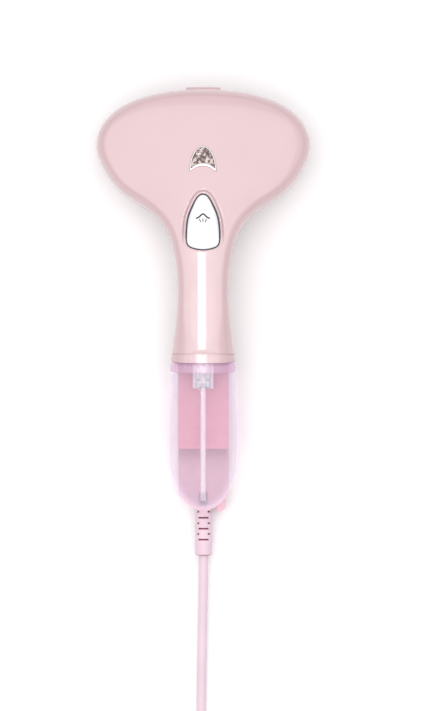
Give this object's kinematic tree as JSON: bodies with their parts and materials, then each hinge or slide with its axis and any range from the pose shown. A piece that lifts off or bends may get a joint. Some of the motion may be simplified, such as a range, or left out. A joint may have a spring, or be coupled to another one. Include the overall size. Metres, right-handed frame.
{
  "type": "garment steamer",
  "caption": "Handheld garment steamer with a wide oval steam head, straight grip with thumb button, clear clip-on water tank and mains cord.",
  "frame": {"origin": "on the resting surface, below the middle of the steamer's length and width, cord left out", "axes": "+Y along the grip towards the steam head, +Z away from the sole plate, +X to the right of the button"},
  "size_m": [0.1721, 0.613, 0.0604],
  "materials": {
    "pink_gloss": "gloss",
    "pink_deep": "satin",
    "pearl_white": "gloss",
    "silver_trim": "polished",
    "smoked_clear": "gloss",
    "tank_lilac": "frosted",
    "clear_plastic": "gloss",
    "dark_plastic": "matte",
    "white_plastic": "matte",
    "cord_pink": "satin",
    "aluminium": "cast",
    "steel": "brushed",
    "brass": "polished",
    "silicone": "satin",
    "board_green": "satin",
    "amber_led": "gloss",
    "copper_wire": "satin"
  },
  "bodies": {
    "housing": {"rear_cover": "pink_gloss", "front_cover": "pink_gloss", "top_catch": "pink_gloss", "housing_screws": "steel", "indicator_frame": "silver_trim", "indicator_lens": "smoked_clear", "indicator_led": "amber_led", "micro_switch": "dark_plastic", "button_spring": "steel", "switch_bracket": "white_plastic", "sole_plate": "aluminium", "plate_bezel": "pink_deep", "heating_element": "steel", "steam_chamber": "aluminium", "chamber_gasket": "silicone", "chamber_lid": "aluminium", "chamber_screws": "steel", "thermostat": "steel", "thermal_fuse": "white_plastic", "fuse_clip": "steel", "heat_shield": "steel", "pump_body": "dark_plastic", "pump_spring": "steel", "pump_bracket": "steel", "suction_hose": "silicone", "pressure_hose": "silicone", "control_board": "board_green", "tank_dock": "pink_gloss", "spine_cover": "pink_deep", "cord_clamp": "white_plastic", "tab_spring": "steel", "strain_relief": "cord_pink", "nozzle_ring": "silicone", "dock_nozzle": "white_plastic", "internal_wires": "copper_wire", "cord_lead": "cord_pink", "cord_tail": "cord_pink", "cord_coil": "cord_pink", "cord_tie": "dark_plastic", "plug_body": "cord_pink", "plug_pins": "brass"},
    "button": {"steam_button": "pearl_white"},
    "plunger": {"switch_plunger": "white_plastic"},
    "tank": {"tank_shell": "tank_lilac", "tank_lid": "tank_lilac", "tank_cap": "clear_plastic", "straw": "clear_plastic", "straw_filter": "white_plastic", "valve_spring": "steel"},
    "poppet": {"valve_poppet": "white_plastic"},
    "tab": {"release_tab": "pink_deep"},
    "pump_core": {"pump_plunger": "steel"}
  },
  "joints": [
    {"name": "button_press", "type": "slide", "parent": "housing", "child": "button", "axis": [0, 0.0834, -0.9965], "range_m": [0, 0.0015], "stiffness_N_per_m": 900, "springref_m": -0.001, "deforming": ["button_spring"]},
    {"name": "plunger_travel", "type": "slide", "parent": "housing", "child": "plunger", "axis": [0, 0.0834, -0.9965], "range_m": [0, 0.0015]},
    {"name": "tank_release", "type": "slide", "parent": "housing", "child": "tank", "axis": [0, -1, 0], "range_m": [0, 0.115]},
    {"name": "valve_lift", "type": "slide", "parent": "tank", "child": "poppet", "axis": [0, -1, 0], "range_m": [0, 0.0006], "stiffness_N_per_m": 200, "springref_m": -0.001, "deforming": ["valve_spring"]},
    {"name": "tab_press", "type": "slide", "parent": "housing", "child": "tab", "axis": [0, 1, 0], "range_m": [0, 0.002], "stiffness_N_per_m": 500, "springref_m": -0.001, "deforming": ["tab_spring"]},
    {"name": "pump_stroke", "type": "slide", "parent": "housing", "child": "pump_core", "axis": [0, -1, 0], "range_m": [0, 0.002], "stiffness_N_per_m": 500, "springref_m": -0.001, "deforming": ["pump_spring"]}
  ],
  "couplings": [
    {"joint": "plunger_travel", "follows": "button_press", "ratio": 1}
  ]
}
